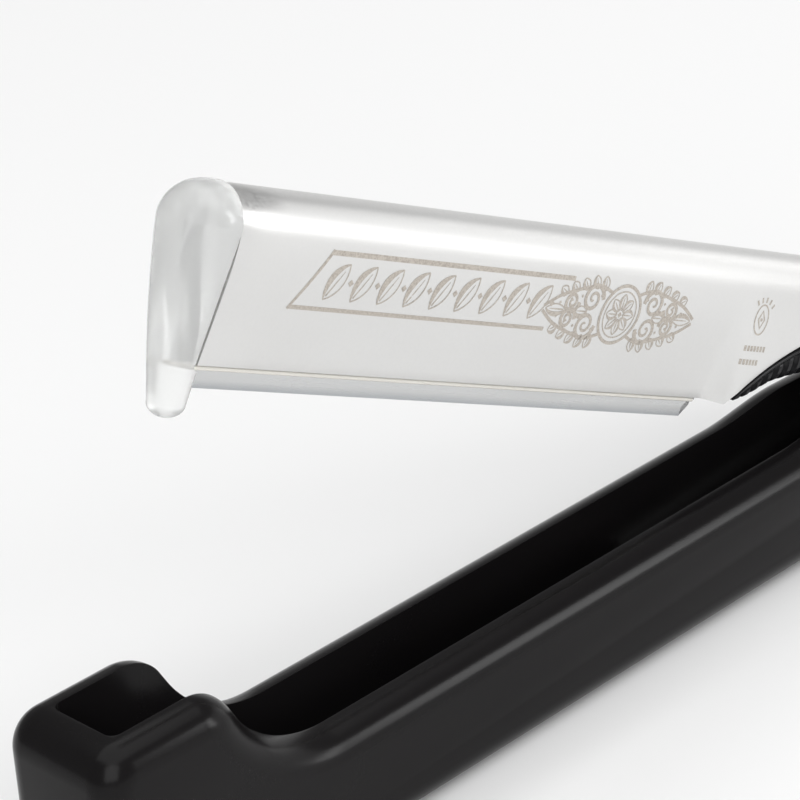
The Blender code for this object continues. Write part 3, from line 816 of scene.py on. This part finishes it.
def tip_section(w, around):
    """The clear tip's outline at height w: square behind, round in front, and a small nose at the bottom."""
    nose_w = NOSE_BOTTOM + NOSE_RADIUS
    middle = TOE_U + 0.6
    if w >= SPINE_CENTRE:
        half = sqrt(max(TIP_RADIUS ** 2 - (w - SPINE_CENTRE) ** 2, 0.0))
        front = middle + (TOE_U + TIP_REACH - middle) * (half / TIP_RADIUS) ** 0.8
    else:
        down = min((SPINE_CENTRE - w) / (SPINE_CENTRE - nose_w), 1.0)
        half = TIP_RADIUS + (NOSE_RADIUS - TIP_RADIUS) * down
        front = TOE_U + TIP_REACH - 2.4 * down ** 1.5
    under = ease((INSERT_LOW + 0.15 - w) / 0.3)
    rear, corner = TIP_REAR_U - 1.22 * under, TIP_REAR_U - 0.02 * under
    if w < nose_w:
        shrink = sqrt(max(NOSE_RADIUS ** 2 - (nose_w - w) ** 2, 0.0)) / NOSE_RADIUS
        half *= shrink
        front = middle + (front - middle) * shrink
        rear, corner = middle - 1.7 * shrink, middle - 0.5 * shrink
    reach = min(0.85 * (front - corner), 1.3 * half)
    section = [(rear + (corner - rear) * (1 - cos(a)), half * sin(a), w) for a in (0.35, 0.7, 1.05, 1.3)]
    section.append((corner, half, w))
    behind = len(section)
    for angle in between(pi / 2, -pi / 2, around):
        section.append((front - reach + reach * cos(angle), half * sin(angle), w))
    return section + [(u, -v, w) for u, v, w in reversed(section[:behind])]


def flange_section(u, side):
    """The bead of the insert that closes the gap under the sleeve's edge, on one side."""
    bead, middle, inner_v, outer_v = 0.2, SLEEVE_BOTTOM - 0.25, 0.45, 1.32
    outline = [(inner_v, middle + bead), (outer_v, middle + bead)]
    outline += [(outer_v + bead * cos(radians(a)), middle + bead * sin(radians(a)))
                for a in range(75, -76, -15)]
    outline += [(outer_v, middle - bead), (inner_v, middle - bead)]
    return [(u, side * v, w) for v, w in outline]


def leaf_section(u):
    """Both leaves of the insert at u, folded inside the sleeve."""
    radius, half = SPINE_RADIUS - SHEET - GAP, WINDOW_HALF - SHEET - GAP
    return sheet_section(u, radius, LEAF_SHEET, half, INSERT_LOW, INSERT_LOW, 20)


def make_insert(look, tip_look, lip_look):
    """The plastic insert: two leaves with pegs, the beads along their lower edges and the safety tip."""
    leaves = new_piece("insert", loft([leaf_section(u) for u in (SHOULDER_U - 0.8, LEAVES_TOE_U - 0.02)]),
                       BLADE_FRAME, look)
    ends = (SHOULDER_U + 0.2, TOE_U + 0.25)
    beads = loft(*[[flange_section(u, side) for u in ends] for side in (-1, 1)])
    lip = new_piece("insert_lip", beads, BLADE_FRAME, lip_look)
    claim(lip, "insert_body", "blade_insert", "blade_insert")

    heights = [SPINE_CENTRE + TIP_RADIUS * sin(radians(a)) for a in range(86, -1, -4)]
    heights += between(SPINE_CENTRE, INSERT_LOW + 0.2, 12)[1:]
    heights += between(INSERT_LOW + 0.2, INSERT_LOW - 0.2, 6)[1:] + [-5.0, -6.0]
    heights += [NOSE_BOTTOM + NOSE_RADIUS * (1 - sin(radians(a))) for a in range(0, 86, 6)]
    tip = new_piece("insert_tip", loft([tip_section(w, 28) for w in heights]), BLADE_FRAME, tip_look)
    section = leaf_section(LEAVES_TOE_U)
    plug = section[:len(section) // 2]
    filling = loft([plug, [(TOE_U + 1.0, v, w) for _, v, w in plug]])
    combine(tip, "plug", filling, BLADE_FRAME, "UNION")
    pegs = loft(*[turned_sections([(PEG_RADIUS, -1.0), (PEG_RADIUS, 1.0)], 32, (u, 0, w)) for u, w in PEGS])
    combine(leaves, "pegs", pegs, BLADE_FRAME, "UNION")
    for piece in (leaves, tip):
        apply_modifiers(piece, 35)
        claim(piece, "insert_body", "blade_insert", "blade_insert")


def make_blade(look):
    """A flat strip with a slanted rear corner, whose lower edge is ground to a bevel from both sides."""
    rear, toe, top, corner = 36.6, 98.6, 3.8, 1.1
    half, edge_half, grind = 0.1, 0.012, 0.85
    sections = []
    straight = rear + corner
    for u in (rear, straight, straight + 0.01, toe):
        low = EDGE_W + max(0.0, straight - u)
        wall = [(half, top), (half, low + grind), (edge_half, low)]
        sections.append([(u, v, w) for v, w in wall + [(-v, w) for v, w in reversed(wall)]])
    blade = new_piece("blade_strip", loft(sections), BLADE_FRAME, look)
    for u, w in PEGS:
        combine(blade, "blade_hole", rod(PEG_RADIUS + GAP, 2, 40, (u, 0, w)), BLADE_FRAME)
    apply_modifiers(blade, 3)
    claim(blade, "insert_body", "razor_blade", "razor_blade")


# ---------------------------------------------------------------- stage

def make_floor():
    """A wide pale floor with a faint paper tooth."""
    made, nodes, links, shader = new_material("floor_paper", (0.9, 0.9, 0.9), 0.0, 0.7)
    tooth = noise(nodes, links, 300.0, 3.0)
    bump(nodes, links, shader, tooth, 0.02, 0.05)
    shape = bmesh.new()
    bmesh.ops.create_grid(shape, x_segments=2, y_segments=2, size=6.0 / MM)
    floor = to_object("floor", shape, Matrix(), smooth_shaded=False)
    floor.data.materials.append(made)


def make_light(name, place, target, size, power):
    """A rectangular area light at a place, turned to a target."""
    light = bpy.data.lights.new(name, "AREA")
    light.shape = "RECTANGLE"
    light.size, light.size_y = size
    light.energy = power
    lamp = bpy.data.objects.new(name, light)
    bpy.context.scene.collection.objects.link(lamp)
    lamp.location = place
    lamp.rotation_euler = (Vector(target) - Vector(place)).to_track_quat("-Z", "Y").to_euler()


def make_lights():
    """Soft light from above and the left, and panels that the sleeve and the handle's rim reflect."""
    razor, under_razor = (0, 0, 0.04), (0, 0, 0.02)
    make_light("overhead", (0.0, 0.0, 1.1), under_razor, (1.5, 1.5), 10.2)
    make_light("right_panel", (1.02, -0.34, 0.26), razor, (1.1, 0.5), 1.6)
    make_light("low_front", (0.66, -0.80, 0.27), razor, (0.20, 0.45), 2.5)
    make_light("back_panel", (1.15, 0.52, 0.20), razor, (1.6, 0.5), 1.45)
    make_light("left_fill", (-0.9, -0.9, 0.8), razor, (1.1, 1.1), 9.5)


def make_world(strength):
    """Even white light from all round."""
    world = bpy.data.worlds.new("studio")
    bpy.context.scene.world = world
    world.use_nodes = True
    background = world.node_tree.nodes["Background"]
    background.inputs["Color"].default_value = (1.0, 1.0, 1.0, 1.0)
    background.inputs["Strength"].default_value = strength


def make_camera():
    """A long lens that looks down the razor from the front left."""
    heading, down, roll = radians(44.18), radians(26.42), radians(-3.76)
    from_pivot_line = Vector((-0.2284, -0.1622, 0.1455))
    forward = Vector((sin(heading) * cos(down), cos(heading) * cos(down), -sin(down)))
    level = Vector((cos(heading), -sin(heading), 0))
    upright = level.cross(forward)
    right = cos(roll) * level + sin(roll) * upright
    up = cos(roll) * upright - sin(roll) * level
    camera = bpy.data.objects.new("camera", bpy.data.cameras.new("camera"))
    camera.data.lens = 143.0
    camera.data.sensor_width = 36.0
    camera.data.clip_start = 0.01
    turn = Matrix((right, up, -forward)).transposed().to_4x4()
    camera.matrix_world = Matrix.Translation(Vector((PIVOT.x, 0, 0)) + from_pivot_line) @ turn
    bpy.context.scene.collection.objects.link(camera)
    bpy.context.scene.camera = camera


def main():
    bpy.context.scene.view_settings.view_transform = "Standard"
    make_camera()
    make_world(0.3)
    make_lights()
    make_floor()

    handle_black = moulded_plastic("handle_black", (0.0054, 0.0048, 0.0051), (0.0084, 0.0076, 0.008),
                                   0.2, 0.26, 0.16)
    tang_black = moulded_plastic("tang_black", (0.008, 0.008, 0.009), (0.013, 0.013, 0.014), 0.16, 0.24, 0.04)
    steel = turned_metal("rivet_steel", (0.66, 0.66, 0.67), 0.2, 0.36)
    brass = turned_metal("nickelled_brass", (0.74, 0.71, 0.66), 0.22, 0.4)
    pin_aluminium = turned_metal("pin_aluminium", (0.8, 0.8, 0.79), 0.26, 0.4)
    leaf_plastic = clear_plastic("leaf_plastic", (0.97, 0.975, 0.97), 0.85)
    tip_plastic = clear_plastic("tip_plastic", (0.985, 0.99, 0.985), 0.64)
    lip_plastic = clear_plastic("lip_plastic", (0.9, 0.875, 0.81), 0.2)

    make_handle(handle_black)
    make_pivot(steel, brass)
    make_sleeve(satin_aluminium())
    make_ornament(etched_metal())
    make_lock_pin(pin_aluminium)
    make_tang(tang_black)
    make_insert(leaf_plastic, tip_plastic, lip_plastic)
    make_blade(blade_steel())


main()
